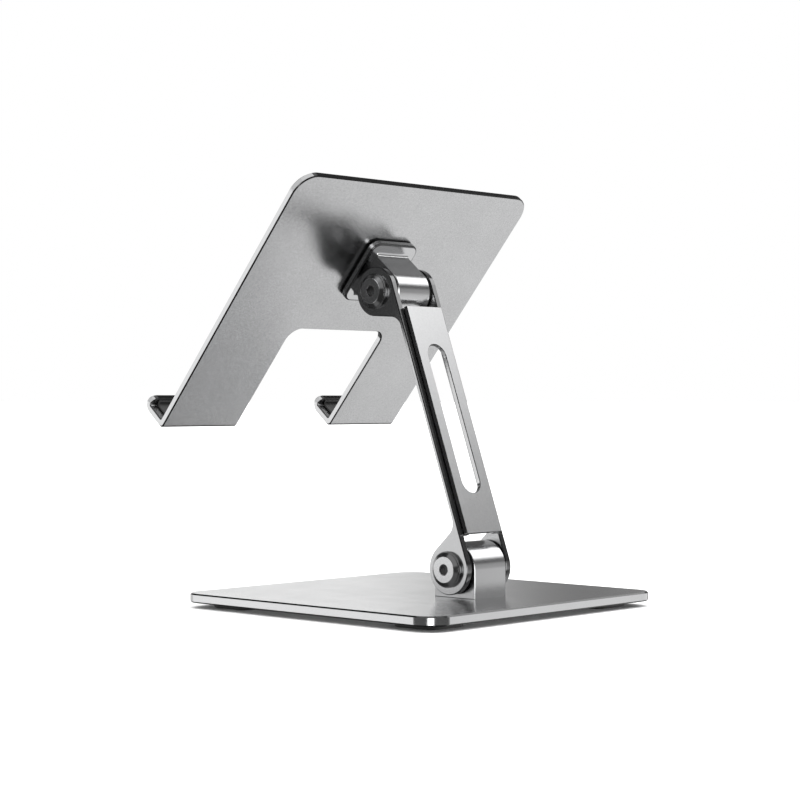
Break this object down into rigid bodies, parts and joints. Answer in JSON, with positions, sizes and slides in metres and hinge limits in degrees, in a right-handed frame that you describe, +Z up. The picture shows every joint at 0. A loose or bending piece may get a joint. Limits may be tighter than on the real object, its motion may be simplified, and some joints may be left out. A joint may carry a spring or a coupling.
{
  "type": "tablet stand",
  "caption": "Folding desk stand that holds a tablet or phone at an adjustable height and angle on a two-hinge arm over a square base plate.",
  "frame": {"origin": "middle of the footprint of the whole stand, on the surface it stands on", "axes": "+Z up, +X to the user's right, the tablet faces -Y"},
  "size_m": [0.145, 0.1678, 0.1814],
  "materials": {
    "blasted_aluminium": "fine bead-blasted, anodised silver grey",
    "satin_aluminium": "satin, machined with small bright chamfers",
    "polished_steel": "turned and polished",
    "spring_steel": "hardened spring steel",
    "black_steel": "black oxide",
    "silicone": "matte black silicone",
    "wear_plastic": "dark wear-resistant plastic"
  },
  "bodies": {
    "base": {"base_plate": "blasted_aluminium", "foot_front_left": "silicone", "foot_front_right": "silicone", "foot_rear_left": "silicone", "foot_rear_right": "silicone", "pivot_block": "satin_aluminium", "block_screw_1": "black_steel", "block_screw_2": "black_steel"},
    "arm": {"left_cheek": "satin_aluminium", "right_cheek": "satin_aluminium", "arm_web": "blasted_aluminium", "web_screw_1": "black_steel", "web_screw_2": "black_steel", "web_screw_3": "black_steel", "web_screw_4": "black_steel", "lower_hinge_bolt": "polished_steel", "lower_sleeve_nut": "polished_steel", "lower_flat_washer": "polished_steel", "lower_disc_spring": "spring_steel", "lower_friction_washer_left": "wear_plastic", "lower_friction_washer_right": "wear_plastic", "upper_hinge_bolt": "polished_steel", "upper_sleeve_nut": "polished_steel", "upper_flat_washer": "polished_steel", "upper_disc_spring": "spring_steel", "upper_friction_washer_left": "wear_plastic", "upper_friction_washer_right": "wear_plastic"},
    "head": {"head_bracket": "satin_aluminium", "tablet_plate": "blasted_aluminium", "bracket_screw_1": "black_steel", "bracket_screw_2": "black_steel", "bracket_screw_3": "black_steel", "bracket_screw_4": "black_steel", "hook_liner_left": "silicone", "hook_liner_right": "silicone", "rest_pad": "silicone"}
  },
  "joints": [
    {"name": "arm_tilt", "type": "hinge", "parent": "base", "child": "arm", "pos_m": [0, 0.0399, 0.0184], "axis": [1, 0, 0], "range_deg": [-65, 25]},
    {"name": "head_tilt", "type": "hinge", "parent": "arm", "child": "head", "pos_m": [0, -0.00217, 0.13526], "axis": [1, 0, 0], "range_deg": [-110, 80]}
  ]
}
